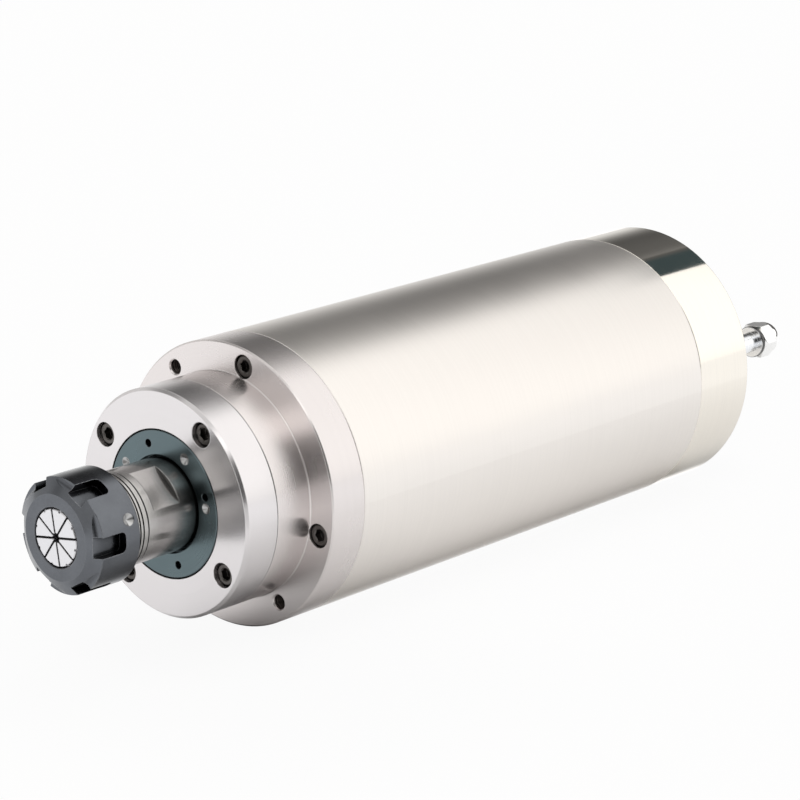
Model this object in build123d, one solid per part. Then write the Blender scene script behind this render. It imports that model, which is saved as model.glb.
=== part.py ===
from build123d import *

import os
from math import cos, sin, radians, tan

# Water-cooled motor spindle, 105 mm body, with an ER25 collet nose.
# Frame: millimetres. The shaft axis is Y and the nose points to -Y. +Z is up as the spindle
# lies on its side. The origin is on the shaft axis at the middle of the body tube, where a
# machine's clamp holds it. Angles run from +X towards +Z, as seen from the nose.

# ---------------------------------------------------------------- driving dimensions
BODY_R = 52.5                # outside of tube, flange rim and rear cap
TUBE_IN_R = 42.5             # inside of the body tube
SPIGOT_R = 42.45             # everything that slides into the tube
NOSE_R = 41.5                # flange spigot and nose cover

NUT_FRONT = -195.0           # stations along the shaft axis, front to rear
NUT_REAR = -175.0
COVER_FRONT = -145.0
COVER_REAR = -130.0
RIM_FRONT = -114.0
TUBE_FRONT = -98.0
TUBE_REAR = 98.0
CAP_REAR = 130.0

ROLL = -11.7                 # how far the housing is rolled about the shaft as it lies
FLANGE_SCREW_ANGLE = 90 + ROLL
COVER_SCREW_ANGLE = 56.0
JACK_HOLE_ANGLE = 135 + ROLL
FLANGE_SCREW_PCR = 46.0
COVER_SCREW_PCR = 35.0
JACK_HOLE_PCR = 46.2
CAP_SCREW_PCR = 46.0

M5_R = 2.5                   # M5 socket head cap screw
M5_HEAD_R = 4.25
M5_HEAD = 5.0
M5_CLEAR_R = 2.75
M5_SINK_R = 4.4              # counterbore for the head
THREAD_GAP = 0.05            # radial play between a screw and its tapped hole
JACK_R = 2.6                 # M6 tapped hole for a jack screw
FLANGE_SEAT = RIM_FRONT + M5_HEAD + 0.6      # where each set of screw heads rests
COVER_SEAT = COVER_FRONT + M5_HEAD + 1.3
CAP_SEAT = CAP_REAR - M5_HEAD - 0.5

EDGE = 0.2                   # broken edge at each joint line
CORNER = 0.4                 # radius left in the corner between nose and rim

LOCK_RING_R = 26.6
LABYRINTH_R = LOCK_RING_R + 0.5          # nose cover's bore, an air gap larger than the ring
SHAFT_R = 17.0               # visible shaft
SEAT_R = 17.5                # front bearing seat
SHAFT_THREAD_R = 15.9        # M32 x 1.5 nose thread
NUT_THREAD_R = 16.05
NUT_R = 20.75
COLLET_R = 13.0              # ER25, largest diameter 26 mm
COLLET_LENGTH = 34.0
COLLET_TAPER = 8.0           # degrees, half angle
TOOL_R = 1.5875              # 1/8 inch tool shank
TAPER_GAP = 0.08

FRONT_BEARING = dict(bore=17.5, outer=31.0, width=14.0, pitch=24.25, ball=3.95, balls=16,
                     shoulder_in=21.6, shoulder_out=27.2)
REAR_BEARING = dict(bore=12.5, outer=23.5, width=12.0, pitch=18.0, ball=3.15, balls=14,
                    shoulder_in=15.9, shoulder_out=20.3)
FRONT_BEARING_AT = (-130.0, -108.0)      # front face of each front bearing
REAR_BEARING_AT = (72.0, 84.0)
RACE_GAP = 0.1               # play between ball and race
BEARING_SHOULDER = FRONT_BEARING_AT[1] + FRONT_BEARING["width"]
FLANGE_REAR = -88.0
HOUSING_FRONT = 64.0         # rear bearing housing

STATOR_R = 35.0
ROTOR_R = 20.6
AIR_GAP = 0.4
STACK_FRONT = -60.0
STACK_REAR = 50.0
SLOTS = 18
SLOT_IN_R = ROTOR_R + AIR_GAP
SLOT_OUT_R = 29.5
SLOT_WIDTH = 4.2
WINDING_REAR = 61.5
ROTOR_BARS = 22
ROTOR_BAR_R = 1.25
ROTOR_BAR_PCR = 18.7

CHANNEL_R = 40.3             # floor of the water channel turned into the jacket sleeve
CHANNEL_FRONT = -78.0
CHANNEL_WIDTH = 11.0
CHANNEL_PITCH = 13.4
CHANNELS = 10
LAND_CUT_ANGLE = 270 + ROLL  # the cuts that lead from one channel to the next
WATER_R = 2.0                # water passages
PORT_SEAL_R = 3.6            # counterbore for the O-ring round each water passage
PORT_SEAL_DEPTH = 1.3
CAVITY_R = 30.0              # wiring space in the rear cap
CAVITY_REAR = 120.0
LEAD_R = 1.1                 # motor leads, and the hole that they pass through
LEAD_HOLE_R = 3.0
LEAD_PCR = 26.9
LEAD_ANGLE = -90 + ROLL      # straight below, in line with the power socket

FITTING_PCR = 37.7           # water fittings on the rear cap
FITTING_ANGLES = {"inlet": 21.8 + ROLL, "outlet": 158.2 + ROLL}
PORT_THREAD_R = 4.9          # G1/8 thread of the water fittings
WASHER = 1.2
STEM_R = 4.0
STEM_THREAD_R = 4.45
SHOULDER_FRONT = CAP_REAR + 21.4         # disc on the stem that the hose nut comes up to
STEM_END = CAP_REAR + 29.5
HOSE_NUT_FRONT = CAP_REAR + 23.05
HOSE_NUT_LENGTH = 12.6
HOSE_NUT_LIP = 2.9
HOSE_R = 3.0                 # 6 x 4 mm hose

SOCKET_DROP = 17.0           # power socket below the shaft axis
SOCKET_BODY_R = 9.9
SOCKET_MOUTH = CAP_REAR + 11.0
PIN_CIRCLE = 4.6
CUP_FRONT = 113.5            # solder cups of the contact pins


# ---------------------------------------------------------------- shared helpers
def spot(pcr, angle):
    """X and Z of a point on a circle about the shaft."""
    return pcr * cos(radians(angle)), pcr * sin(radians(angle))


def around(count, first=0.0):
    return [first + 360 / count * n for n in range(count)]


def turned(points):
    """A turned piece: an outline of (radius, y) points spun about the shaft axis."""
    return revolve(make_face(Polyline(*points, close=True)), Axis.Y)


def rod(radius, y0, y1, x=0.0, z=0.0):
    return Pos(x, (y0 + y1) / 2, z) * Rot(90, 0, 0) * Cylinder(radius, y1 - y0)


def ring(outer, inner, y0, y1):
    return rod(outer, y0, y1) - rod(inner, y0 - 1, y1 + 1)


def rods(radius, y0, y1, pcr, angles):
    return [rod(radius, y0, y1, *spot(pcr, angle)) for angle in angles]


def cone(r0, r1, y0, y1, x=0.0, z=0.0):
    """A cone along Y with radius r0 at y0 and r1 at y1."""
    return Pos(x, (y0 + y1) / 2, z) * Rot(-90, 0, 0) * Cone(r0, r1, y1 - y0)


def hexagon(across_flats, y0, y1, x=0.0, z=0.0, turn=0.0):
    prism = extrude(RegularPolygon(across_flats / 2, 6, major_radius=False), (y1 - y0) / 2, both=True)
    return Pos(x, (y0 + y1) / 2, z) * Rot(0, turn, 0) * Rot(90, 0, 0) * prism


def cap_screw(x, z, seat, length, head_to, turn=0.0, shank=M5_R, head_r=M5_HEAD_R, head=M5_HEAD):
    """Socket head cap screw. seat is where its head rests, and head_to is -1 for a head
    that points to the nose or +1 for one that points to the rear."""
    top = seat + head_to * head
    tip = seat - head_to * length
    across_flats = 1.6 * shank
    body = rod(head_r, min(seat, top), max(seat, top), x, z)
    body += rod(shank - THREAD_GAP, min(seat, tip), max(seat, tip), x, z)
    rim = body.edges().filter_by(GeomType.CIRCLE).filter_by(lambda e: abs(e.center().Y - top) < 0.01)
    body = chamfer(rim, 0.17 * head_r)
    floor = top - head_to * 0.55 * head
    body -= hexagon(across_flats, min(floor, top), max(floor, top), x, z, turn)
    mouth_r, mouth_depth = 0.64 * across_flats, 0.1 * head
    throat_r = mouth_r - 1.5 * mouth_depth
    if head_to < 0:
        return body - cone(mouth_r, throat_r, top, top + mouth_depth, x, z)
    return body - cone(throat_r, mouth_r, top - mouth_depth, top, x, z)


def cap_screws(pcr, angles, seat, length, head_to, **size):
    return [cap_screw(*spot(pcr, angle), seat, length, head_to, turn=angle * 1.7, **size)
            for angle in angles]


def o_ring(centre_r, y, section_r):
    """O-ring seated in its groove."""
    return revolve(Pos(centre_r, y) * Circle(section_r), Axis.Y)


def save(name, shape):
    solids = shape if isinstance(shape, list) else [shape]
    pieces = [solid for item in solids for solid in item.solids()]
    piece = pieces[0] if len(pieces) == 1 else Compound(children=pieces)
    export_step(piece, f"parts/{name}.step")


# ---------------------------------------------------------------- housing
TUBE_SCREW_ANGLES = around(4, FLANGE_SCREW_ANGLE)
COVER_SCREW_ANGLES = around(4, COVER_SCREW_ANGLE)
JACK_HOLE_ANGLES = around(2, JACK_HOLE_ANGLE)
REAR_COVER_SCREW_ANGLES = around(4, 45 + ROLL)
SOCKET_AT = spot(SOCKET_DROP, -90 + ROLL)


def body_tube():
    tube = turned([
        (TUBE_IN_R, TUBE_FRONT), (BODY_R - EDGE, TUBE_FRONT), (BODY_R, TUBE_FRONT + EDGE),
        (BODY_R, TUBE_REAR - EDGE), (BODY_R - EDGE, TUBE_REAR), (TUBE_IN_R, TUBE_REAR)])
    tapped = 16
    tube -= rods(M5_R, TUBE_FRONT - 1, TUBE_FRONT + tapped, FLANGE_SCREW_PCR, TUBE_SCREW_ANGLES)
    tube -= rods(M5_R, TUBE_REAR - tapped, TUBE_REAR + 1, CAP_SCREW_PCR, TUBE_SCREW_ANGLES)
    return tube


def front_flange():
    bore = FRONT_BEARING["outer"]
    seal_front, seal_rear, seal_r = -95.6, -92.8, 40.75
    flange = turned([
        (bore, COVER_REAR), (NOSE_R - EDGE, COVER_REAR), (NOSE_R, COVER_REAR + EDGE),
        (NOSE_R, RIM_FRONT - CORNER), (NOSE_R + 0.3 * CORNER, RIM_FRONT - 0.3 * CORNER),
        (NOSE_R + CORNER, RIM_FRONT), (BODY_R - 0.5, RIM_FRONT), (BODY_R, RIM_FRONT + 0.5),
        (BODY_R, TUBE_FRONT - EDGE), (BODY_R - EDGE, TUBE_FRONT), (SPIGOT_R, TUBE_FRONT),
        (SPIGOT_R, seal_front), (seal_r, seal_front), (seal_r, seal_rear), (SPIGOT_R, seal_rear),
        (SPIGOT_R, FLANGE_REAR), (25.5, FLANGE_REAR), (25.5, BEARING_SHOULDER),
        (bore, BEARING_SHOULDER)])
    flange -= rods(M5_CLEAR_R, FLANGE_SEAT - 1, TUBE_FRONT + 1, FLANGE_SCREW_PCR, TUBE_SCREW_ANGLES)
    flange -= rods(M5_SINK_R, RIM_FRONT - 1, FLANGE_SEAT, FLANGE_SCREW_PCR, TUBE_SCREW_ANGLES)
    flange -= rods(M5_R, COVER_REAR - 1, COVER_REAR + 13, COVER_SCREW_PCR, COVER_SCREW_ANGLES)
    for angle in JACK_HOLE_ANGLES:
        x, z = spot(JACK_HOLE_PCR, angle)
        flange -= rod(JACK_R, RIM_FRONT - 1, TUBE_FRONT + 1, x, z)
        flange -= cone(JACK_R + 0.55, JACK_R, RIM_FRONT - 0.05, RIM_FRONT + 0.5, x, z)
    return flange


def nose_cover():
    groove_r, chamfer_size = LABYRINTH_R + 1.4, 1.0
    cover = turned([
        (LABYRINTH_R, COVER_FRONT), (NOSE_R - chamfer_size, COVER_FRONT),
        (NOSE_R, COVER_FRONT + chamfer_size), (NOSE_R, COVER_REAR - EDGE),
        (NOSE_R - EDGE, COVER_REAR), (LABYRINTH_R, COVER_REAR),
        (LABYRINTH_R, -133.5), (groove_r, -133.5), (groove_r, -135.5), (LABYRINTH_R, -135.5),
        (LABYRINTH_R, -137.5), (groove_r, -137.5), (groove_r, -139.5), (LABYRINTH_R, -139.5)])
    cover -= rods(M5_CLEAR_R, COVER_SEAT - 1, COVER_REAR + 1, COVER_SCREW_PCR, COVER_SCREW_ANGLES)
    cover -= rods(M5_SINK_R + 0.1, COVER_FRONT - 1, COVER_SEAT, COVER_SCREW_PCR, COVER_SCREW_ANGLES)
    return cover


def rear_bearing_housing():
    bore = REAR_BEARING["outer"]
    housing = turned([
        (20.3, HOUSING_FRONT), (SPIGOT_R, HOUSING_FRONT), (SPIGOT_R, TUBE_REAR),
        (bore, TUBE_REAR), (bore, 68.0), (20.3, 68.0)])
    housing -= rod(LEAD_HOLE_R, HOUSING_FRONT - 1, TUBE_REAR + 1, *spot(LEAD_PCR, LEAD_ANGLE))
    housing -= rods(WATER_R, HOUSING_FRONT - 1, TUBE_REAR + 1, FITTING_PCR, FITTING_ANGLES.values())
    for angle in FITTING_ANGLES.values():
        housing -= rod(PORT_SEAL_R, TUBE_REAR - PORT_SEAL_DEPTH, TUBE_REAR + 1, *spot(FITTING_PCR, angle))
    housing -= rods(1.5, TUBE_REAR - 8, TUBE_REAR + 1, LEAD_PCR, REAR_COVER_SCREW_ANGLES)
    return housing


def rear_bearing_cover():
    cover = ring(29.4, 19.9, TUBE_REAR, TUBE_REAR + 3)
    cover -= rods(1.7, TUBE_REAR - 1, TUBE_REAR + 4, LEAD_PCR, REAR_COVER_SCREW_ANGLES)
    cover -= rod(LEAD_HOLE_R + 1.0, TUBE_REAR - 1, TUBE_REAR + 4, *spot(LEAD_PCR, LEAD_ANGLE))
    return cover


def rear_cap():
    rim = 1.5
    cap = turned([
        (0, CAVITY_REAR), (CAVITY_R, CAVITY_REAR), (CAVITY_R, TUBE_REAR),
        (BODY_R - EDGE, TUBE_REAR), (BODY_R, TUBE_REAR + EDGE), (BODY_R, CAP_REAR - rim),
        (BODY_R - rim, CAP_REAR), (0, CAP_REAR)])
    cap -= rods(M5_CLEAR_R, TUBE_REAR - 1, CAP_REAR, CAP_SCREW_PCR, TUBE_SCREW_ANGLES)
    cap -= rods(M5_SINK_R, CAP_SEAT, CAP_REAR + 1, CAP_SCREW_PCR, TUBE_SCREW_ANGLES)
    cap -= rods(WATER_R, TUBE_REAR - 1, CAP_REAR, FITTING_PCR, FITTING_ANGLES.values())
    cap -= rods(PORT_THREAD_R + THREAD_GAP, CAP_REAR - 9, CAP_REAR + 1, FITTING_PCR,
                FITTING_ANGLES.values())
    cap -= rod(SOCKET_BODY_R + THREAD_GAP, CAVITY_REAR - 1, CAP_REAR + 1, *SOCKET_AT)
    return cap


# ---------------------------------------------------------------- cooling and motor
def water_jacket_sleeve():
    outline = [(STATOR_R, FLANGE_REAR), (SPIGOT_R, FLANGE_REAR)]
    seal_depth = 1.75
    seals = [(FLANGE_REAR + 3.0, SPIGOT_R - seal_depth, 2.8),
             (HOUSING_FRONT - 5.8, SPIGOT_R - seal_depth, 2.8)]
    channels = [(CHANNEL_FRONT + CHANNEL_PITCH * n, CHANNEL_R, CHANNEL_WIDTH) for n in range(CHANNELS)]
    for start, floor, width in [seals[0]] + channels + [seals[1]]:
        outline += [(SPIGOT_R, start), (floor, start), (floor, start + width), (SPIGOT_R, start + width)]
    outline += [(SPIGOT_R, HOUSING_FRONT), (STATOR_R, HOUSING_FRONT)]
    sleeve = turned(outline)
    for n in range(CHANNELS - 1):
        land = CHANNEL_FRONT + CHANNEL_PITCH * n + CHANNEL_WIDTH
        x, z = spot(CHANNEL_R + 2, LAND_CUT_ANGLE + 180 * (n % 2))
        sleeve -= Pos(x, land + 1.5, z) * Sphere(3.4)
    ends = {"inlet": CHANNEL_FRONT + 5, "outlet": CHANNEL_FRONT + CHANNEL_PITCH * (CHANNELS - 1) + 5}
    for side, end in ends.items():
        angle = FITTING_ANGLES[side]
        sleeve -= rod(WATER_R, end, HOUSING_FRONT + 1, *spot(FITTING_PCR, angle))
        x, z = spot(FITTING_PCR + 3, angle)
        sleeve -= Pos(x, end + 1, z) * Rot(0, 90 - angle, 0) * Cylinder(1.8, 6)
    return sleeve


def jacket_o_rings():
    return [o_ring(41.6, y, 0.84) for y in (-94.2, FLANGE_REAR + 4.4, HOUSING_FRONT - 4.4)]


def port_o_rings():
    seal = revolve(Pos(2.8, 0) * Circle(0.65), Axis.Y)
    places = [spot(FITTING_PCR, angle) for angle in FITTING_ANGLES.values()]
    return [Pos(x, TUBE_REAR - PORT_SEAL_DEPTH / 2, z) * seal for x, z in places]


def stator_core():
    core = ring(STATOR_R, SLOT_IN_R, STACK_FRONT, STACK_REAR)
    length = STACK_REAR - STACK_FRONT + 2
    mid_r = (SLOT_IN_R + 1.2 + SLOT_OUT_R) / 2
    slot = Pos(mid_r, 0, 0) * Box(SLOT_OUT_R - SLOT_IN_R - 1.2, length, SLOT_WIDTH)
    mouth = Pos(SLOT_IN_R, 0, 0) * Box(5, length, 1.6)
    middle = (STACK_FRONT + STACK_REAR) / 2
    core -= [Pos(0, middle, 0) * Rot(0, angle, 0) * (slot + mouth) for angle in around(SLOTS)]
    return core


def stator_winding():
    front = turned([(23.2, -74), (25, -76), (30, -76), (32.5, -73.5), (32.5, -61), (30, -59.9),
                    (24, -59.9), (23.2, -61)])
    rear = turned([(23.2, 51), (24, 49.9), (30, 49.9), (32.5, 51), (32.5, 59.5),
                   (30.5, WINDING_REAR), (24, WINDING_REAR), (23.2, 60)])
    depth = SLOT_OUT_R - SLOT_IN_R - 2.4
    middle = (STACK_FRONT + STACK_REAR) / 2
    bar = Pos((SLOT_IN_R + SLOT_OUT_R) / 2 + 1, middle, 0) * Box(depth - 0.6, 112, SLOT_WIDTH - 0.3)
    core_clear = ring(STATOR_R, SLOT_IN_R, STACK_FRONT, STACK_REAR)
    ends = (front + rear) - core_clear
    return ends + [Rot(0, angle, 0) * bar for angle in around(SLOTS)]


def rotor_core():
    core = ring(ROTOR_R, 16.0, STACK_FRONT, STACK_REAR)
    return core - rods(ROTOR_BAR_R, STACK_FRONT - 1, STACK_REAR + 1, ROTOR_BAR_PCR, around(ROTOR_BARS))


def rotor_cage():
    front = ring(20.4, 16.4, STACK_FRONT - 9, STACK_FRONT)
    rear = ring(20.4, 16.4, STACK_REAR, STACK_REAR + 9)
    bars = rods(ROTOR_BAR_R, STACK_FRONT - 1, STACK_REAR + 1, ROTOR_BAR_PCR, around(ROTOR_BARS))
    return front + rear + bars


# ---------------------------------------------------------------- shaft and bearings
TAPER_MOUTH = -184.8
FLAT_ANGLE = 48.0
FLAT_R = 15.0                # two flats, 30 mm across
TAPER_START = NUT_FRONT + 8.8            # where the collet's long taper begins
COLLET_REAR = NUT_FRONT + COLLET_LENGTH


def taper_r(y):
    """Radius of the collet's 8 degree taper at station y."""
    return COLLET_R - (y - TAPER_START) * tan(radians(COLLET_TAPER))


def spindle_shaft():
    collar_r, groove_r = SHAFT_R + 0.3, SHAFT_R - 0.1
    rear_seat = REAR_BEARING["bore"]
    outline = [
        (taper_r(TAPER_MOUTH) + TAPER_GAP, TAPER_MOUTH), (SHAFT_THREAD_R - 0.6, TAPER_MOUTH),
        (SHAFT_THREAD_R, TAPER_MOUTH + 0.8), (SHAFT_THREAD_R, -175.6), (15.2, -175.0),
        (15.2, -174.0), (collar_r - 0.3, -174.0), (collar_r, -173.7)]
    for start, end in ((-172.0, -171.6), (-170.5, -170.1)):
        outline += [(collar_r, start), (groove_r, start), (groove_r, end), (collar_r, end)]
    outline += [
        (collar_r, -168.2), (SHAFT_R - 0.3, -168.2), (SHAFT_R - 0.3, -167.6), (SHAFT_R, -167.6),
        (SHAFT_R, -142.5), (SEAT_R, -142.0), (SEAT_R, BEARING_SHOULDER), (21.0, BEARING_SHOULDER),
        (21.0, -86.5), (20.5, -86.0), (SEAT_R, -86.0), (SEAT_R, -71.0), (16.0, -70.0), (16.0, 60.0),
        (14.0, 61.0), (14.0, 70.0), (15.0, 70.5), (15.0, REAR_BEARING_AT[0]),
        (rear_seat, REAR_BEARING_AT[0]), (rear_seat, 106.2), (rear_seat - 0.8, 107.0),
        (2.0, 107.0), (0, 105.0), (0, -128.0), (5.0, -131.0), (5.0, COLLET_REAR + 3),
        (taper_r(COLLET_REAR + 3) + TAPER_GAP, COLLET_REAR + 3)]
    shaft = turned(outline)
    flat = Pos(0, -158.5, 0) * Box(40, 12, 10)
    for angle in (FLAT_ANGLE, FLAT_ANGLE + 180):
        shaft -= Rot(0, 90 - angle, 0) * Pos(0, 0, FLAT_R + 5) * flat
    return shaft


def bearing_rings(bearing, starts, outer):
    """Inner or outer rings of an angular contact pair, with the ball grooves cut in."""
    rings = []
    for start in starts:
        end = start + bearing["width"]
        edge = 0.6
        if outer:
            far, near = bearing["outer"], bearing["shoulder_out"]
        else:
            far, near = bearing["bore"], bearing["shoulder_in"]
        out = edge if outer else -edge
        blank = turned([(near, start), (far - out, start), (far, start + edge), (far, end - edge),
                        (far - out, end), (near, end)])
        groove = Circle(bearing["ball"] + RACE_GAP)
        race = revolve(Pos(bearing["pitch"], (start + end) / 2) * groove, Axis.Y)
        rings.append(blank - race)
    return rings


def bearing_cages(bearing, starts):
    inner, outer = bearing["pitch"] - 1.35, bearing["pitch"] + 1.55
    pocket = Pos(bearing["pitch"], 0, 0) * Rot(0, 90, 0) * Cylinder(bearing["ball"] + 0.15, 8)
    margin = 1.5
    cages = []
    for start in starts:
        cage = ring(outer, inner, start + margin, start + bearing["width"] - margin)
        middle = start + bearing["width"] / 2
        cage -= [Pos(0, middle, 0) * Rot(0, angle, 0) * pocket for angle in around(bearing["balls"])]
        cages.append(cage)
    return cages


def bearing_balls(bearing, starts):
    balls = []
    for start in starts:
        for angle in around(bearing["balls"]):
            x, z = spot(bearing["pitch"], angle)
            balls.append(Pos(x, start + bearing["width"] / 2, z) * Sphere(bearing["ball"]))
    return balls


def front_spacer(outer):
    start = FRONT_BEARING_AT[0] + FRONT_BEARING["width"]
    if outer:
        return ring(FRONT_BEARING["outer"], 27.4, start, FRONT_BEARING_AT[1])
    return ring(21.4, FRONT_BEARING["bore"], start, FRONT_BEARING_AT[1])


def preload_spring():
    """Disc spring between the housing's shoulder and the rear bearings' outer rings."""
    return turned([(20.6, 71.2), (20.6, 72.0), (23.3, 68.8), (23.3, 68.0)])


def lock_ring():
    """Front lock nut, labyrinth and balancing ring in one, screwed on the shaft."""
    recess_r, pin_pcr, hub_r = SHAFT_R + 0.8, 22.0, 21.4
    ridge = LOCK_RING_R - 1.2
    locknut = turned([
        (recess_r, COVER_FRONT), (LOCK_RING_R - 0.25, COVER_FRONT), (LOCK_RING_R, COVER_FRONT + 0.25),
        (LOCK_RING_R, -141.5), (ridge, -141.5), (ridge, -139.5), (LOCK_RING_R, -139.5),
        (LOCK_RING_R, -137.5), (ridge, -137.5), (ridge, -135.5), (LOCK_RING_R, -135.5),
        (LOCK_RING_R, -131.5), (hub_r, -131.5), (hub_r, COVER_REAR), (SEAT_R, COVER_REAR),
        (SEAT_R, -142.0), (recess_r, -142.0)])
    locknut -= rods(1.5, COVER_FRONT - 1, COVER_FRONT + 5, pin_pcr, around(4, 18.3))
    for angle, pcr, width in ((59.2, 21.7, 4.0), (7.8, 21.5, 3.7), (148.5, 21.9, 3.7)):
        locknut -= cone(width / 2, 0.15, COVER_FRONT, COVER_FRONT + width * 0.3, *spot(pcr, angle))
    return locknut


def rear_lock_nut():
    nut = ring(19.0, REAR_BEARING["bore"], 96, 104)
    nut -= ring(20.0, 15.6, 95, 97)
    for angle in around(4):
        nut -= Rot(0, angle, 0) * Pos(18.8, 101, 0) * Box(4, 8, 4)
    return nut


# ---------------------------------------------------------------- collet and collet nut
SLIT = 0.8
FRONT_SLIT_ANGLE = 9.5
GRIP_LENGTH = 16.0


def collet():
    """ER collet: 30 degree nose cone, extraction groove, 8 degree taper, sixteen slits."""
    face_r, land_r, groove_r, relief_r = 10.1, 12.9, 11.3, 4.0
    blank = turned([
        (TOOL_R + 0.3, NUT_FRONT), (face_r - 0.25, NUT_FRONT), (face_r, NUT_FRONT + 0.25),
        (land_r, NUT_FRONT + 4.85), (land_r, NUT_FRONT + 5.8), (groove_r, NUT_FRONT + 5.8),
        (groove_r, TAPER_START), (COLLET_R, TAPER_START), (taper_r(COLLET_REAR), COLLET_REAR),
        (relief_r, COLLET_REAR), (relief_r, NUT_FRONT + GRIP_LENGTH + 1.5),
        (TOOL_R, NUT_FRONT + GRIP_LENGTH), (TOOL_R, NUT_FRONT + 0.3)])
    front_end, rear_start = COLLET_REAR - 7.0, NUT_FRONT + 8.0
    front_slit = Pos(7.5, (NUT_FRONT - 1 + front_end) / 2, 0) * Box(15, front_end - NUT_FRONT + 1, SLIT)
    rear_length = COLLET_REAR + 1 - rear_start
    rear_slit = Pos(9.4, rear_start + rear_length / 2, 0) * Box(11.6, rear_length, SLIT)
    nick = Pos(face_r, NUT_FRONT, 0) * Box(1.2, 1.6, SLIT)
    for angle in around(8, FRONT_SLIT_ANGLE):
        blank -= Rot(0, -angle, 0) * front_slit
        blank -= Rot(0, -angle - 22.5, 0) * (rear_slit + nick)
    return blank


NUT_SHOULDER = NUT_FRONT + 9.5
NUT_SLOT_FLOOR_R = 17.3
NUT_SLOT_WIDTH = 7.3
NUT_SLOT_END = NUT_FRONT + 13.3
NUT_BEVEL_END = NUT_FRONT + 3.1


def nut_slot():
    """Cutter for one spanner slot, pointing along +X: the slot, and the hollow on the lead-in
    side of its mouth that guides the spanner's hook."""
    length = NUT_SLOT_END - NUT_FRONT + 2
    slot = Box(8, length, NUT_SLOT_WIDTH)
    rear_corners = slot.edges().filter_by(Axis.X).group_by(Axis.Y)[-1]
    slot = Pos(NUT_SLOT_FLOOR_R + 4, NUT_SLOT_END - length / 2, 0) * fillet(rear_corners, 1.9)
    hollow_r, hollow_turn, hollow_length = 17.8, 14.0, NUT_BEVEL_END - NUT_FRONT + 2
    hollow = Box(8, hollow_length, 19)
    foot = hollow.edges().filter_by(Axis.Z).group_by(Axis.Y)[-1].sort_by(Axis.X)[0]
    hollow = Pos(hollow_r + 4, NUT_BEVEL_END - hollow_length / 2, 2.5) * fillet(foot, 2.7)
    return slot + Rot(0, -hollow_turn, 0) * hollow


def collet_nut():
    """Nut with the 30 degree seat for the collet's nose, an eccentric extraction lip that
    sits in the collet's groove, and six spanner slots open at the front."""
    mouth_r, cone_start, seat_gap = 10.6, 15.3, 0.3
    nut = turned([
        (mouth_r + 0.3, NUT_FRONT), (cone_start, NUT_FRONT), (NUT_R - 0.2, NUT_FRONT + 2.8),
        (NUT_R, NUT_BEVEL_END), (NUT_R, NUT_REAR - 0.5), (NUT_R - 0.5, NUT_REAR),
        (NUT_THREAD_R + 0.8, NUT_REAR), (NUT_THREAD_R, NUT_REAR - 0.8), (NUT_THREAD_R, NUT_SHOULDER),
        (12.0, NUT_SHOULDER), (12.0, NUT_FRONT + 6.0), (12.9 + seat_gap, NUT_FRONT + 6.0),
        (12.9 + seat_gap, NUT_FRONT + 4.85), (mouth_r, NUT_FRONT + 0.35), (mouth_r, NUT_FRONT + 0.3)])
    nut -= rod(12.75, NUT_FRONT + 5.9, NUT_SHOULDER + 1, 0.55, 0)
    nut -= rod(14.2, NUT_FRONT + 8.5, NUT_SHOULDER + 1)
    slot = nut_slot()
    for angle in around(6):
        nut -= Rot(0, -angle, 0) * slot
    nut -= cone(2.5, 0.15, 0, 1.5).moved(
        Rot(0, -20, 0) * Pos(NUT_R, NUT_REAR - 4.3, 0) * Rot(0, 0, 90))
    return nut


# ---------------------------------------------------------------- rear cap fittings
def water_fitting():
    """Straight hose fitting, built on the shaft axis and then moved to its port."""
    base, shoulder, shoulder_r = 6.0, 1.5, 6.4
    start = CAP_REAR + WASHER
    stem = turned([
        (1.3, CAP_REAR - 8), (PORT_THREAD_R - 0.6, CAP_REAR - 8), (PORT_THREAD_R, CAP_REAR - 7.4),
        (PORT_THREAD_R, start), (6.9, start), (6.9, start + base), (STEM_R, start + base),
        (STEM_R, SHOULDER_FRONT), (shoulder_r - 0.3, SHOULDER_FRONT),
        (shoulder_r, SHOULDER_FRONT + 0.3), (shoulder_r, SHOULDER_FRONT + shoulder),
        (STEM_THREAD_R, SHOULDER_FRONT + shoulder), (STEM_THREAD_R, STEM_END - 0.4),
        (STEM_THREAD_R - 0.4, STEM_END), (1.95, STEM_END), (1.95, STEM_END + 2.2),
        (1.6, STEM_END + 2.7), (1.3, STEM_END + 2.7)])
    hex_base = hexagon(14.0, start, start + base)
    corners = turned([(0, start), (7.4, start), (7.9, start + 0.5), (7.9, start + base - 0.5),
                      (7.4, start + base), (0, start + base)])
    return stem + ((hex_base & corners) - rod(3, start - 1, start + base + 1))


def sealing_washer():
    return ring(7.2, PORT_THREAD_R + 0.1, CAP_REAR, CAP_REAR + WASHER)


def hose_nut():
    """Hexagon nut with a chamfered front and a domed rear end that the hose passes through."""
    end = HOSE_NUT_FRONT + HOSE_NUT_LENGTH
    bore, corner_r, mouth_r = STEM_THREAD_R + 0.05, 7.5, HOSE_R + 0.2
    dome_length = 6.6
    front = Polyline((bore + 0.3, HOSE_NUT_FRONT), (6.3, HOSE_NUT_FRONT), (corner_r, HOSE_NUT_FRONT + 0.8),
                     (corner_r, end - dome_length))
    shoulder = Line((corner_r, end - dome_length), (6.7, end - dome_length + 1.3))
    dome = ThreePointArc(shoulder @ 1, (5.85, end - 2.4), (mouth_r + 0.4, end))
    seat = end - HOSE_NUT_LIP
    inside = Polyline((mouth_r + 0.4, end), (mouth_r, end - 0.4), (mouth_r, seat),
                      (bore, seat), (bore, HOSE_NUT_FRONT + 0.3), (bore + 0.3, HOSE_NUT_FRONT))
    shape = revolve(make_face(front + shoulder + dome + inside), Axis.Y)
    return shape & hexagon(13.0, HOSE_NUT_FRONT - 1, end + 1, turn=-2)


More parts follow.
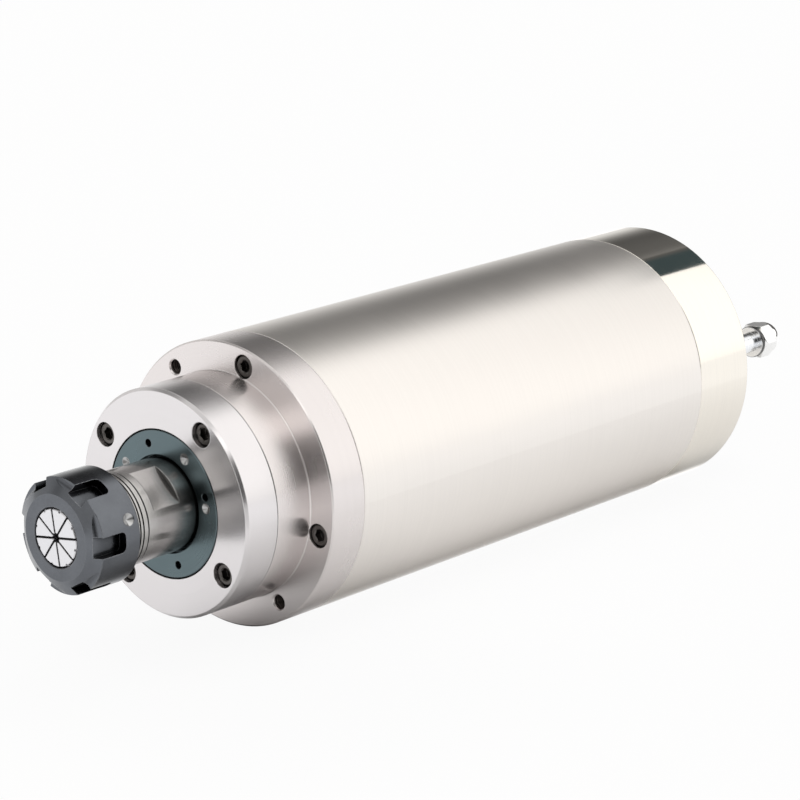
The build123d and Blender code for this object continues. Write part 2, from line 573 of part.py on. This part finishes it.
def ferrule():
    """Clamping ring, captive in the hose nut."""
    end = HOSE_NUT_FRONT + HOSE_NUT_LENGTH - HOSE_NUT_LIP - 0.05
    return turned([(HOSE_R + 0.1, end - 2.0), (HOSE_R + 0.5, end - 2.0), (4.35, end - 0.8),
                   (4.35, end), (HOSE_R + 0.1, end)])


def power_socket_shell():
    shell = turned([
        (8.4, 113), (SOCKET_BODY_R, 113), (SOCKET_BODY_R, CAP_REAR), (13.0, CAP_REAR),
        (13.0, CAP_REAR + 2), (12.5, CAP_REAR + 2.5), (10.2, CAP_REAR + 2.5), (9.5, CAP_REAR + 3.2),
        (9.5, SOCKET_MOUTH - 0.5), (9.0, SOCKET_MOUTH), (8.4, SOCKET_MOUTH)])
    shell -= Pos(8.6, SOCKET_MOUTH - 3, 0) * Box(1.2, 8, 2.2)
    return shell


def power_socket_insert():
    insert = rod(8.35, 114, CAP_REAR + 1)
    return insert - rods(1.0, 113, CAP_REAR + 2, PIN_CIRCLE, around(4, 45))


def power_socket_pins():
    pins = []
    for x, z in [spot(PIN_CIRCLE, angle) for angle in around(4, 45)]:
        pin = rod(1.0, CUP_FRONT, CAP_REAR + 5.4, x, z) + cone(1.0, 0.5, CAP_REAR + 5.4, CAP_REAR + 6, x, z)
        pins.append(pin)
    return pins


def power_socket_nut():
    return hexagon(23.0, CAVITY_REAR - 3.0, CAVITY_REAR) - rod(SOCKET_BODY_R + 0.05, 116, 121)


def place(shape, x, z):
    items = shape if isinstance(shape, list) else [shape]
    return [Pos(x, 0, z) * item for item in items]


# ---------------------------------------------------------------- motor leads
def motor_leads():
    """Three phases and earth, from the winding's rear end to the socket's solder cups."""
    leads = []
    x0, z0 = spot(LEAD_PCR, LEAD_ANGLE)
    for angle in around(4, 45):
        across_x, across_z = spot(1.6, angle)
        cup_x, cup_z = spot(PIN_CIRCLE, angle)
        x1, z1 = SOCKET_AT[0] + cup_x, SOCKET_AT[1] + cup_z
        x, z = x0 + across_x, z0 + across_z
        route = [(x, WINDING_REAR, z), (x, 102.5, z), (x1, 109.0, z1), (x1, CUP_FRONT, z1)]
        path = FilletPolyline(*route, radius=3.0)
        leads.append(sweep(Plane(path @ 0, z_dir=path % 0) * Circle(LEAD_R), path=path))
    return leads


# ---------------------------------------------------------------- build all
def build():
    os.makedirs("parts", exist_ok=True)
    save("body_tube", body_tube())
    save("front_flange", front_flange())
    save("nose_cover", nose_cover())
    save("rear_cap", rear_cap())
    save("rear_bearing_housing", rear_bearing_housing())
    save("rear_bearing_cover", rear_bearing_cover())
    save("nose_cover_screws", cap_screws(COVER_SCREW_PCR, COVER_SCREW_ANGLES, COVER_SEAT, 20, -1))
    save("flange_screws", cap_screws(FLANGE_SCREW_PCR, TUBE_SCREW_ANGLES, FLANGE_SEAT, 25, -1))
    save("rear_cap_screws", cap_screws(CAP_SCREW_PCR, TUBE_SCREW_ANGLES, CAP_SEAT, 40, 1))
    save("rear_cover_screws", cap_screws(LEAD_PCR, REAR_COVER_SCREW_ANGLES, TUBE_REAR + 3, 10, 1,
                                         shank=1.5, head_r=2.5, head=2.5))
    save("water_jacket_sleeve", water_jacket_sleeve())
    save("jacket_o_rings", jacket_o_rings())
    save("water_port_o_rings", port_o_rings())
    save("stator_core", stator_core())
    save("stator_winding", stator_winding())

    save("spindle_shaft", spindle_shaft())
    save("rotor_core", rotor_core())
    save("rotor_cage", rotor_cage())
    save("lock_ring", lock_ring())
    save("rear_lock_nut", rear_lock_nut())
    for side, bearing, starts in (("front", FRONT_BEARING, FRONT_BEARING_AT),
                                  ("rear", REAR_BEARING, REAR_BEARING_AT)):
        save(f"{side}_bearing_inner_rings", bearing_rings(bearing, starts, outer=False))
        save(f"{side}_bearing_outer_rings", bearing_rings(bearing, starts, outer=True))
        save(f"{side}_bearing_cages", bearing_cages(bearing, starts))
        save(f"{side}_bearing_balls", bearing_balls(bearing, starts))
    save("front_inner_spacer", front_spacer(outer=False))
    save("front_outer_spacer", front_spacer(outer=True))
    save("preload_spring", preload_spring())

    save("collet", collet())
    save("collet_nut", collet_nut())

    for side, angle in FITTING_ANGLES.items():
        x, z = spot(FITTING_PCR, angle)
        save(f"water_{side}_fitting", place(water_fitting(), x, z))
        save(f"{side}_hose_nut", place(hose_nut(), x, z))
        save(f"{side}_hose_ferrule", place(ferrule(), x, z))
    washers = [place(sealing_washer(), *spot(FITTING_PCR, angle))[0] for angle in FITTING_ANGLES.values()]
    save("fitting_washers", washers)
    save("power_socket_shell", place(power_socket_shell(), *SOCKET_AT))
    save("power_socket_insert", place(power_socket_insert(), *SOCKET_AT))
    save("power_socket_pins", place(power_socket_pins(), *SOCKET_AT))
    save("power_socket_nut", place(power_socket_nut(), *SOCKET_AT))
    save("motor_leads", motor_leads())


build()
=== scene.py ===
from math import cos, pi, radians, sin

import bmesh
import bpy
from mathutils import Matrix, Vector


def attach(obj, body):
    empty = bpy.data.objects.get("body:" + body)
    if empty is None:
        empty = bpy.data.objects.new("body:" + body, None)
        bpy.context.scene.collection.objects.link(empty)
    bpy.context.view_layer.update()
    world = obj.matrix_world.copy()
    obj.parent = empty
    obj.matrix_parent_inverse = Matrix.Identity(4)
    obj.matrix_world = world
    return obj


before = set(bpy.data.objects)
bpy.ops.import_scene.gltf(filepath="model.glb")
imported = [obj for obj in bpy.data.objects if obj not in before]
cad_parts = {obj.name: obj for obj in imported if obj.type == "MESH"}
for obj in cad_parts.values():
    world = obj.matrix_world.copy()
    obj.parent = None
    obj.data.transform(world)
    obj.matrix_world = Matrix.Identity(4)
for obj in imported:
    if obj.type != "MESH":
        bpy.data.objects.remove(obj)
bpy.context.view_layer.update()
scene = bpy.context.scene

FLOOR_Z = -0.0525            # the body lies on its own outside diameter


# ---------------------------------------------------------------- node helpers
def add(tree, kind, inputs=None, **settings):
    """A shader node with its settings, and its inputs given as values or as other sockets."""
    made = tree.nodes.new(kind)
    for name, value in settings.items():
        setattr(made, name, value)
    for name, value in (inputs or {}).items():
        if isinstance(value, bpy.types.NodeSocket):
            tree.links.new(value, made.inputs[name])
        else:
            made.inputs[name].default_value = value
    return made


def calc(tree, operation, a, b=0.0):
    return add(tree, "ShaderNodeMath", {0: a, 1: b}, operation=operation).outputs[0]


def product(tree, first, *others):
    for other in others:
        first = calc(tree, "MULTIPLY", first, other)
    return first


def vector(tree, operation, a, b=(0, 0, 0)):
    return add(tree, "ShaderNodeVectorMath", {0: a, 1: b}, operation=operation).outputs["Vector"]


def measure(tree, operation, a, b=(0, 0, 0)):
    """A length, distance or dot product."""
    return add(tree, "ShaderNodeVectorMath", {0: a, 1: b}, operation=operation).outputs["Value"]


def place_of(tree):
    """Where the shaded point is, in metres, on the object itself."""
    return add(tree, "ShaderNodeTexCoord").outputs["Object"]


def remap(tree, value, low, high, to_low=0.0, to_high=1.0, smooth=True):
    """value between low and high taken to between to_low and to_high, and held there outside."""
    made = add(tree, "ShaderNodeMapRange",
               {"Value": value, "From Min": low, "From Max": high, "To Min": to_low, "To Max": to_high},
               interpolation_type="SMOOTHSTEP" if smooth else "LINEAR")
    return made.outputs["Result"]


def noise(tree, coordinates, scale, detail, rough):
    made = add(tree, "ShaderNodeTexNoise",
               {"Vector": coordinates, "Scale": scale, "Detail": detail, "Roughness": rough})
    return made.outputs["Fac"]


MIX_A, MIX_B, MIX_RESULT = 6, 7, 2       # a mix node's sockets for colours


def blend(tree, factor, a, b):
    """Colour a where factor is 0, and b where it is 1."""
    made = add(tree, "ShaderNodeMix", {"Factor": factor}, data_type="RGBA")
    for place, colour in ((MIX_A, a), (MIX_B, b)):
        if isinstance(colour, bpy.types.NodeSocket):
            tree.links.new(colour, made.inputs[place])
        else:
            made.inputs[place].default_value = (*colour, 1)
    return made.outputs[MIX_RESULT]


def fresh_tree(block):
    block.use_nodes = True
    block.node_tree.nodes.clear()
    return block.node_tree


# ---------------------------------------------------------------- materials
def lathe_coordinates(tree, around, centre):
    """Coordinates in which noise makes fine rings about an axis along Y, as a tool leaves them.
    around is how much of a millimetre one radian round the axis counts for."""
    from_axis = vector(tree, "SUBTRACT", place_of(tree), centre)
    x, y, z = add(tree, "ShaderNodeSeparateXYZ", {0: from_axis}).outputs
    radius = measure(tree, "LENGTH", add(tree, "ShaderNodeCombineXYZ", {0: x, 2: z}).outputs[0])
    turn = product(tree, calc(tree, "ARCTAN2", z, x), around / 1000)
    return add(tree, "ShaderNodeCombineXYZ", {0: radius, 1: y, 2: turn}).outputs[0]


FLAT_FACE, FULL_EDGE = 0.995, 0.85       # cosines between the rounded normal and the true one


def edge_mask(tree, width):
    """1 on outside edges, 0 on the faces between them."""
    soft = add(tree, "ShaderNodeBevel", {"Radius": width}, samples=4).outputs[0]
    true = add(tree, "ShaderNodeNewGeometry").outputs["True Normal"]
    return remap(tree, measure(tree, "DOT_PRODUCT", soft, true), FLAT_FACE, FULL_EDGE)


def near(tree, place, spots):
    """1 within a radius of any of the spots, each given as (point, radius)."""
    soft = 0.08
    total = 0.0
    for point, radius in spots:
        inside = remap(tree, measure(tree, "DISTANCE", place, point),
                       radius * (1 + soft), radius * (1 - soft))
        total = calc(tree, "MAXIMUM", total, inside)
    return total


def bands(tree, y, spans):
    """1 where y lies in any of the spans, given as (start, end)."""
    soft = 0.00005
    total = 0.0
    for start, end in spans:
        rise = remap(tree, y, start - soft, start + soft)
        fall = remap(tree, y, end - soft, end + soft, 1.0, 0.0)
        total = calc(tree, "MAXIMUM", total, product(tree, rise, fall))
    return total


# dark of a seam line, and painted shade in grooves
SEAM_DARK_AND_GROOVE_SHADE = (0.05, 0.05, 0.05)
# painted shade, on the rim of the stem's disc
RIM_SHADE = (0.10, 0.10, 0.10)
DRILLED_METAL = (0.48, 0.48, 0.48)
BLACK = (0.0, 0.0, 0.0)
RECESS_REACH = 0.009         # how far the painted recess shade reaches, in metres
GRAIN_DEPTH = 0.0001         # height of the grain at a bump depth of 1, in metres
QUARTER_TURN = 0.25          # sets the highlights' stretch square to the radial tangent
NOISE_SPAN = (0.3, 0.7)      # most of what a noise texture gives lies in this range


def metal(name, colour, rough, grain="plain", lines=900.0, depth=0.08, vary=0.06, cloud=60.0,
          aniso=0.0, edge_wear_and_highlight=None, edge_wear_and_highlight_share=0.35, spread=0.05, edge=0.0004, metallic=1.0, coat=0.0,
          around=0.3, detail=4.0, centre=(0, 0, 0), rim=None, bare=(), grooves=(), hollows=None):
    """Machined metal: grain in its bump and roughness, slow clouding of its colour, edges lightened by
    wear and by a painted highlight.
    lines and cloud are the scales of grain and clouding, depth is the grain's bump, vary how
    far the colour clouds and spread how far the roughness does. The edge colour is for wear and a
    painted edge highlight.
    A lathe grain runs round an axis along Y through centre. rim is a radius and a station
    past which the metal is painted dark, as shade. bare lists spots drilled down to bright
    metal, and grooves the spans of Y painted dark, as a seam line and as shade in grooves.
    hollows is how much recesses are darkened as painted shade, and the shares of open sky between which
    they are."""
    material = bpy.data.materials.new(name + "_finish")
    tree = fresh_tree(material)
    place = place_of(tree)
    along = lathe_coordinates(tree, around, centre) if grain == "lathe" else place
    fine = noise(tree, along, lines, detail, 0.6)
    slow = noise(tree, place, cloud, 3.0, 0.55)
    dark = tuple(c * (1 - vary) for c in colour)
    light = tuple(min(1.0, c * (1 + vary)) for c in colour)
    cloudiness = calc(tree, "ADD", product(tree, fine, 0.5), product(tree, slow, 0.5))
    base = blend(tree, remap(tree, cloudiness, 0.35, 0.65), dark, light)
    # Edges lightened, with scratches, for wear and as a painted highlight.
    if edge_wear_and_highlight:
        scratch = remap(tree, noise(tree, place, 700.0, 4.0, 0.7), 0.38, 0.62, 0.25, 1.0)
        base = blend(tree, product(tree, edge_mask(tree, edge), scratch, edge_wear_and_highlight_share), base, edge_wear_and_highlight)
    if rim or grooves:
        station = add(tree, "ShaderNodeSeparateXYZ", {0: place}).outputs["Y"]
    # Painted shade: past the rim the metal is painted dark, in the hose nut's shade.
    if rim:
        rim_radius, rim_station = rim
        away = vector(tree, "MULTIPLY", vector(tree, "SUBTRACT", place, centre), (1, 0, 1))
        outside = remap(tree, measure(tree, "LENGTH", away), rim_radius - 0.0001, rim_radius + 0.0001)
        behind = remap(tree, station, rim_station, rim_station + 0.0002)
        base = blend(tree, product(tree, outside, behind), base, RIM_SHADE)
    # Spans of Y painted dark: a seam line, and painted shade in grooves.
    if grooves:
        base = blend(tree, bands(tree, station, grooves), base, SEAM_DARK_AND_GROOVE_SHADE)
    # Painted shade: recesses are darkened towards black by ambient occlusion.
    if hollows:
        strength, closed, opened = hollows
        open_sky = add(tree, "ShaderNodeAmbientOcclusion", {"Distance": RECESS_REACH}, samples=8)
        recess = remap(tree, open_sky.outputs["AO"], closed, opened, strength, 0.0)
        base = blend(tree, recess, base, BLACK)
    if bare:
        base = blend(tree, near(tree, place, bare), base, DRILLED_METAL)
    roughness = calc(tree, "ADD", remap(tree, fine, *NOISE_SPAN, -0.3 * spread, 0.3 * spread),
                     remap(tree, slow, *NOISE_SPAN, rough - spread, rough + spread))
    bump = add(tree, "ShaderNodeBump", {"Strength": depth, "Distance": GRAIN_DEPTH, "Height": fine})
    rounded = add(tree, "ShaderNodeBevel", {"Radius": edge, "Normal": bump.outputs[0]}, samples=4)
    surface = add(tree, "ShaderNodeBsdfPrincipled",
                  {"Base Color": base, "Metallic": metallic, "Roughness": roughness,
                   "Anisotropic": aniso, "Normal": rounded.outputs[0], "Coat Weight": coat})
    if aniso:
        tangent = add(tree, "ShaderNodeTangent", direction_type="RADIAL", axis="Y")
        tree.links.new(tangent.outputs[0], surface.inputs["Tangent"])
        surface.inputs["Anisotropic Rotation"].default_value = QUARTER_TURN
    out = add(tree, "ShaderNodeOutputMaterial")
    tree.links.new(surface.outputs[0], out.inputs[0])
    return material


def moulded(name, colour, rough, vary=0.15, grain=900.0, depth=0.15, coat=0.0):
    """Plastic, rubber, insulation or ceramic: fine skin texture and slight change of shade."""
    return metal(name, colour, rough, lines=grain, depth=depth, vary=vary, metallic=0.0, coat=coat)


def on_circle(radius, angle):
    """X and Z of a point on a circle about the shaft axis, in millimetres and degrees."""
    return radius * cos(radians(angle)), radius * sin(radians(angle))


def spot(radius, angle, y):
    """A point on a circle about the shaft axis, given in millimetres and returned in metres."""
    x, z = on_circle(radius, angle)
    return x / 1000, y / 1000, z / 1000


BRIGHT = (0.95, 0.94, 0.92)  # edge colour: wear, and a painted highlight on edges

# Places that differ from the metal round them: drilled dimples as (point, radius), and a dark
# seam line and painted shade in grooves as spans of Y, all in metres.
RING_DIMPLES = ((spot(21.7, 59.2, -144.8), 0.0021), (spot(21.5, 7.8, -144.8), 0.0019),
                (spot(21.9, 148.5, -144.8), 0.0019))
NUT_DIMPLES = ((spot(20.4, 20, -179.3), 0.0022),)
COVER_SEAM = ((-0.13035, -0.1299),)
SHAFT_GROOVES = ((-0.1750, -0.1740), (-0.1721, -0.1715), (-0.1706, -0.1700), (-0.1683, -0.1675))
FITTING_AXES = {"inlet": spot(37.7, 10.1, 0), "outlet": spot(37.7, 146.5, 0)}
FITTING_RIM = (0.0062, 0.145)            # edge of the disc on the stem, in the hose nut's shade

ground = metal("ground_steel", (0.842, 0.806, 0.772), 0.33, "lathe", lines=900, depth=0.003,
               vary=0.012, aniso=0.5, cloud=30, edge_wear_and_highlight=BRIGHT, spread=0.008, detail=1.5)
turned = metal("turned_steel", (0.762, 0.720, 0.712), 0.27, "lathe", lines=1400, depth=0.002,
               vary=0.01, aniso=0.8, cloud=40, edge_wear_and_highlight=BRIGHT, spread=0.006, detail=1.5,
               hollows=(0.9, 0.08, 0.45))
nose_steel = metal("nose_steel", (0.745, 0.720, 0.728), 0.25, "lathe", lines=1400, depth=0.002,
                   vary=0.01, aniso=0.8, cloud=40, edge_wear_and_highlight=BRIGHT, spread=0.006, detail=1.5,
                   grooves=COVER_SEAM)
polished = metal("polished_steel", (0.835, 0.795, 0.73), 0.09, "lathe", lines=900, depth=0.003,
                 vary=0.015, cloud=30, edge_wear_and_highlight=BRIGHT, spread=0.01, detail=1.5)
shaft_steel = metal("shaft_steel", (0.50, 0.49, 0.48), 0.22, "lathe", lines=2200, depth=0.004,
                    vary=0.04, aniso=0.75, cloud=60, edge_wear_and_highlight=BRIGHT, edge_wear_and_highlight_share=0.6, spread=0.02,
                    grooves=SHAFT_GROOVES, hollows=(0.85, 0.52, 0.93))
collet_steel = metal("collet_steel", (0.76, 0.76, 0.785), 0.34, lines=1800, depth=0.03, vary=0.03,
                     edge_wear_and_highlight=BRIGHT)
blackened = metal("blackened_steel", (0.135, 0.143, 0.158), 0.20, lines=2500, depth=0.02, vary=0.10,
                  cloud=110, edge_wear_and_highlight=(0.55, 0.55, 0.56), edge_wear_and_highlight_share=0.5, bare=NUT_DIMPLES,
                  hollows=(0.9, 0.45, 1.0))
ring_steel = metal("dark_ring_steel", (0.125, 0.165, 0.178), 0.25, "lathe", lines=2200, depth=0.03,
                   vary=0.06, aniso=0.5, edge_wear_and_highlight=(0.4, 0.42, 0.43), bare=RING_DIMPLES)
screw_steel = metal("screw_steel", (0.105, 0.097, 0.092), 0.28, lines=2600, depth=0.08, vary=0.2,
                    edge_wear_and_highlight=(0.40, 0.38, 0.35), edge_wear_and_highlight_share=0.6, edge=0.0002)
nickel = metal("nickel_plate", (0.86, 0.86, 0.86), 0.09, lines=1200, depth=0.015, vary=0.03,
               edge_wear_and_highlight=BRIGHT, spread=0.03)
stem_nickel = {
    side: metal(side + "_stem_nickel", (0.86, 0.875, 0.90), 0.20, "lathe", lines=2600, depth=0.10,
                vary=0.10, edge_wear_and_highlight=BRIGHT, edge_wear_and_highlight_share=0.25, centre=axis, rim=FITTING_RIM)
    for side, axis in FITTING_AXES.items()}
bearing = metal("bearing_steel", (0.74, 0.74, 0.74), 0.10, "lathe", lines=1800, depth=0.03,
                vary=0.03, edge_wear_and_highlight=BRIGHT)
ceramic = moulded("ceramic_ball", (0.07, 0.07, 0.075), 0.12, coat=0.4, depth=0.02)
cage_resin = moulded("bearing_cage", (0.34, 0.22, 0.10), 0.45)
aluminium = metal("aluminium", (0.82, 0.83, 0.84), 0.30, "lathe", lines=1500, depth=0.08, vary=0.04)
laminations = metal("laminations", (0.40, 0.41, 0.43), 0.38, "lathe", lines=3000, depth=0.30,
                    vary=0.20)
cast_aluminium = metal("cast_aluminium", (0.70, 0.71, 0.72), 0.42, lines=900, depth=0.25, vary=0.08)
winding = metal("winding", (0.52, 0.20, 0.07), 0.32, "lathe", lines=1400, depth=0.6, vary=0.25,
                coat=0.5)
rubber = moulded("rubber", (0.018, 0.018, 0.019), 0.55)
# Painted shade: the jack holes' threads are near black, standing for the shade inside the holes.
tapped = metal("tapped_hole", (0.07, 0.06, 0.055), 0.42, lines=2000, depth=0.1, vary=0.2)
copper = metal("copper_washer", (0.80, 0.42, 0.26), 0.28, lines=1500, depth=0.08, vary=0.08)
insulator = moulded("socket_insulator", (0.022, 0.022, 0.024), 0.38)
contact = metal("contact_metal", (0.85, 0.66, 0.30), 0.16, lines=1500, depth=0.03, vary=0.05)
spring = metal("spring_steel", (0.50, 0.49, 0.47), 0.26, lines=1600, depth=0.08, vary=0.08)
lead_skin = moulded("lead_insulation", (0.55, 0.03, 0.02), 0.42)

# The finish of each material of the CAD solids, and of the nodes that have one of their own.
FINISHES = {
    "ground_steel": ground, "turned_steel": turned, "polished_steel": polished,
    "shaft_steel": shaft_steel, "collet_steel": collet_steel, "blackened_steel": blackened,
    "dark_ring_steel": ring_steel, "screw_steel": screw_steel, "nickel_brass": nickel,
    "bearing_steel": bearing, "ceramic_ball": ceramic, "bearing_cage": cage_resin,
    "aluminium": aluminium, "laminations": laminations, "cast_aluminium": cast_aluminium,
    "winding": winding, "rubber": rubber, "copper_washer": copper, "socket_insulator": insulator,
    "contact_metal": contact, "spring_steel": spring, "lead_insulation": lead_skin}
OWN_FINISH = {"nose_cover": nose_steel, "water_inlet_fitting": stem_nickel["inlet"],
              "water_outlet_fitting": stem_nickel["outlet"]}

for name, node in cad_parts.items():
    for slot, plain in enumerate(node.data.materials):
        node.data.materials[slot] = OWN_FINISH.get(name) or FINISHES[plain.name]


# ---------------------------------------------------------------- threads, which the solids leave out
STEPS = 36                   # sections in one turn of a thread


def thread(name, axis, start, length, pitch, root, crest, finish, body):
    """Helical ridge about an axis along Y, in millimetres, with its roots sunk in the solid's wall.
    It rises from the wall over its first turn and sinks back over its last."""
    half_root, half_crest = 0.42 * pitch, 0.08 * pitch
    turns = length / pitch
    mesh = bmesh.new()
    sections = []
    for step in range(int(STEPS * turns) + 1):
        angle = 2 * pi * step / STEPS
        y = start + pitch * step / STEPS
        height = min(1.0, step / STEPS, (turns * STEPS - step) / STEPS)
        top = root + (crest - root) * height
        profile = ((root, -half_root), (top, -half_crest), (top, half_crest), (root, half_root))
        section = []
        for radius, along in profile:
            point = (axis[0] + radius * cos(angle), y + along, axis[1] + radius * sin(angle))
            section.append(mesh.verts.new([c / 1000 for c in point]))
        sections.append(section)
    for before, after in zip(sections, sections[1:]):
        for corners in zip(before, before[1:], after[1:], after):
            mesh.faces.new(corners)
    bmesh.ops.recalc_face_normals(mesh, faces=mesh.faces)
    data = bpy.data.meshes.new(name)
    mesh.to_mesh(data)
    mesh.free()
    made = bpy.data.objects.new(name, data)
    scene.collection.objects.link(made)
    made.data.materials.append(finish)
    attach(made, body)


for number, angle in enumerate((123.3, 303.3), 1):
    thread("jack_hole_thread_%d" % number, on_circle(46.2, angle), start=-113.4, length=14.0,
           pitch=1.0, root=2.63, crest=2.2, finish=tapped, body="housing")
thread("power_socket_thread", on_circle(17.0, -101.7), start=134.2, length=6.0,
       pitch=1.0, root=9.45, crest=9.85, finish=nickel, body="housing")


# ---------------------------------------------------------------- floor, light and camera
def panel(name, corners):
    mesh = bpy.data.meshes.new(name)
    mesh.from_pydata(corners, [], [tuple(range(len(corners)))])
    made = bpy.data.objects.new(name, mesh)
    scene.collection.objects.link(made)
    return made


def paint(made, shader):
    material = bpy.data.materials.new(made.name)
    tree = fresh_tree(material)
    shader(tree, add(tree, "ShaderNodeOutputMaterial").inputs[0])
    made.data.materials.append(material)


def camera_rays(tree):
    return add(tree, "ShaderNodeLightPath").outputs["Is Camera Ray"]


def mirror_rays(tree):
    """1 for rays that show the backdrop through a reflection, and not straight."""
    path = add(tree, "ShaderNodeLightPath").outputs
    shown = calc(tree, "MAXIMUM", path["Is Transmission Ray"], path["Is Glossy Ray"])
    return product(tree, shown, calc(tree, "SUBTRACT", 1.0, path["Is Camera Ray"]))


def floor_shader(tree, out):
    """Matt pale floor with a painted shadow where the spindle stands, that stays white in the picture
    itself.
    Reflections see it as bright card, apart from painted shade near the spindle and round its nose, and
    painted bright strips right under the tube and beneath the nose."""
    camera, mirror = camera_rays(tree), mirror_rays(tree)
    x, y, _ = add(tree, "ShaderNodeSeparateXYZ", {0: place_of(tree)}).outputs

    # Distance from the line under the shaft axis, which counts more past the line's ends.
    half_line, end_weight = 0.15, 1.5
    beyond = calc(tree, "MAXIMUM", calc(tree, "SUBTRACT", calc(tree, "ABSOLUTE", y), half_line), 0.0)
    apart = add(tree, "ShaderNodeCombineXYZ", {0: x, 1: product(tree, beyond, end_weight)}).outputs[0]
    gap = measure(tree, "LENGTH", apart)

    # Painted light on the floor: painted shade beside the nose, and painted shadow in front of it, by
    # the camera.
    beside_nose = product(tree, remap(tree, y, -0.13, -0.01, 1.0, 0.0),
                          remap(tree, gap, 0.07, 0.18, 1.0, 0.0), remap(tree, x, -0.03, 0.01), 0.25)
    before_nose = product(tree, remap(tree, x, 0.05, 0.20, 0.0, 0.5),
                          remap(tree, y, -0.30, -0.18, 1.0, 0.0))
    painted_light = calc(tree, "SUBTRACT", calc(tree, "SUBTRACT", 1.0, beside_nose), before_nose)
    # Painted shadow: the matt colour darkens towards the line under the spindle.
    painted_shadow = product(tree, remap(tree, gap, 0.0, 0.05, 0.5, 1.0), painted_light)
    matt = add(tree, "ShaderNodeBsdfDiffuse",
               {"Color": blend(tree, painted_shadow, (0.10, 0.10, 0.10), (0.90, 0.90, 0.90))})

    # How white reflections see it: fully far off, and as painted bright strips right under the tube and
    # beneath the nose.
    white = add(tree, "ShaderNodeEmission",
                {"Color": (1, 1, 1, 1),
                 "Strength": calc(tree, "ADD", product(tree, mirror, 0.2), 1.0)})
    far = calc(tree, "POWER", remap(tree, gap, 0.032, 0.30, smooth=False), 0.5)
    under_tube = product(tree, remap(tree, gap, 0.0265, 0.0185, 0.0, 1.1),
                         remap(tree, y, -0.11, -0.085))
    beneath_nose = product(tree, remap(tree, x, 0.012, -0.02, 0.0, 0.8),
                           remap(tree, y, -0.115, -0.10, 1.0, 0.0))
    bright = calc(tree, "MAXIMUM", calc(tree, "MAXIMUM", far, under_tube), beneath_nose)
    mirrored = product(tree, mirror, painted_light, bright, 0.85)
    share = calc(tree, "ADD", product(tree, camera, 0.94), mirrored)
    mix = add(tree, "ShaderNodeMixShader", {0: share, 1: matt.outputs[0], 2: white.outputs[0]})
    tree.links.new(mix.outputs[0], out)


FLOOR_HALF = 6.0
floor = panel("floor", [(-FLOOR_HALF, -FLOOR_HALF, FLOOR_Z), (FLOOR_HALF, -FLOOR_HALF, FLOOR_Z),
                        (FLOOR_HALF, FLOOR_HALF, FLOOR_Z), (-FLOOR_HALF, FLOOR_HALF, FLOOR_Z)])
paint(floor, floor_shader)


def card_shader(tree, out):
    """Grey card that turns to dark teal above the rear cap."""
    x, _, z = add(tree, "ShaderNodeSeparateXYZ", {0: place_of(tree)}).outputs
    teal = product(tree, remap(tree, x, -0.010, 0.004), remap(tree, z, 0.10, 0.11))
    shade = blend(tree, teal, (0.125, 0.118, 0.112), (0.050, 0.072, 0.078))
    tree.links.new(add(tree, "ShaderNodeEmission", {"Color": shade}).outputs[0], out)


# Dark cards that only reflections see: one over the rear cap, one behind the hose nuts.
CARDS = {
    "flag": [(-0.008, 0.178, 0.12), (0.0345, 0.178, 0.12),
             (0.0345, 0.235, 0.12), (-0.008, 0.235, 0.12)],
    "backing": [(-0.03, 0.26, 0.002), (0.085, 0.26, 0.002),
                (0.085, 0.26, 0.085), (-0.03, 0.26, 0.045)]}
for name, corners in CARDS.items():
    card = panel(name, corners)
    paint(card, card_shader)
    card.visible_camera = False
    card.visible_diffuse = False
    card.visible_shadow = False


def toward(tree, direction, inner, outer):
    """1 within inner degrees of a direction, falling to 0 at outer degrees."""
    look = add(tree, "ShaderNodeTexCoord").outputs["Generated"]
    unit = vector(tree, "NORMALIZE", look)
    facing = measure(tree, "DOT_PRODUCT", unit, Vector(direction).normalized())
    return remap(tree, facing, cos(radians(outer)), cos(radians(inner)))


BASE_LEVEL = 0.80
LAMPS = (                    # direction, inner and outer angle, added strength
    ((0.35, 0.72, 0.62), 30, 62, 0.55),      # softbox behind and above
    ((0.42, -0.66, 0.62), 10, 24, 0.9))      # overhead lamp towards the nose
DARK_AREAS = (               # direction, inner and outer angle, share of light that is left
    ((0.68, -0.70, 0.20), 18, 31, 0.05),     # the photographer, by the camera
    ((-0.65, -0.45, 0.60), 10, 21, 0.25),    # left wall
    ((-0.02, 0.98, 0.18), 15, 30, 0.12),     # back wall
    ((-0.468, 0.7126, 0.523), 8, 30, 0.10))  # ceiling

world = bpy.data.worlds.new("studio")
scene.world = world
tree = fresh_tree(world)
level = BASE_LEVEL
for direction, inner, outer, strength in LAMPS:
    level = calc(tree, "ADD", product(tree, toward(tree, direction, inner, outer), strength), level)
for direction, inner, outer, left in DARK_AREAS:
    area = toward(tree, direction, inner, outer)
    level = product(tree, level, remap(tree, area, 0.0, 1.0, 1.0, left, smooth=False))
light = add(tree, "ShaderNodeBackground", {"Color": (1.0, 0.99, 0.97, 1), "Strength": level})
plain = add(tree, "ShaderNodeBackground", {"Color": (1, 1, 1, 1), "Strength": 1.0})
mix = add(tree, "ShaderNodeMixShader", {0: camera_rays(tree), 1: light.outputs[0], 2: plain.outputs[0]})
add(tree, "ShaderNodeOutputWorld", {0: mix.outputs[0]})

CAMERA_PLACE = (0.73271, -0.83135, 0.32513)
CAMERA_LOOK = (-0.645, 0.7126, -0.276)       # fitted to the photograph's perspective

camera_data = bpy.data.cameras.new("camera")
camera_data.lens = 135.5
camera_data.sensor_width = 36.0
camera_data.clip_start = 0.05
camera_data.clip_end = 50
camera = bpy.data.objects.new("camera", camera_data)
scene.collection.objects.link(camera)
look = Vector(CAMERA_LOOK).normalized()
right = look.cross(Vector((0, 0, 1))).normalized()
above = right.cross(look)
camera.matrix_world = Matrix.LocRotScale(
    Vector(CAMERA_PLACE), Matrix((right, above, -look)).transposed().to_3x3(), None)
scene.camera = camera
scene.view_settings.view_transform = "Standard"

bpy.context.view_layer.update()
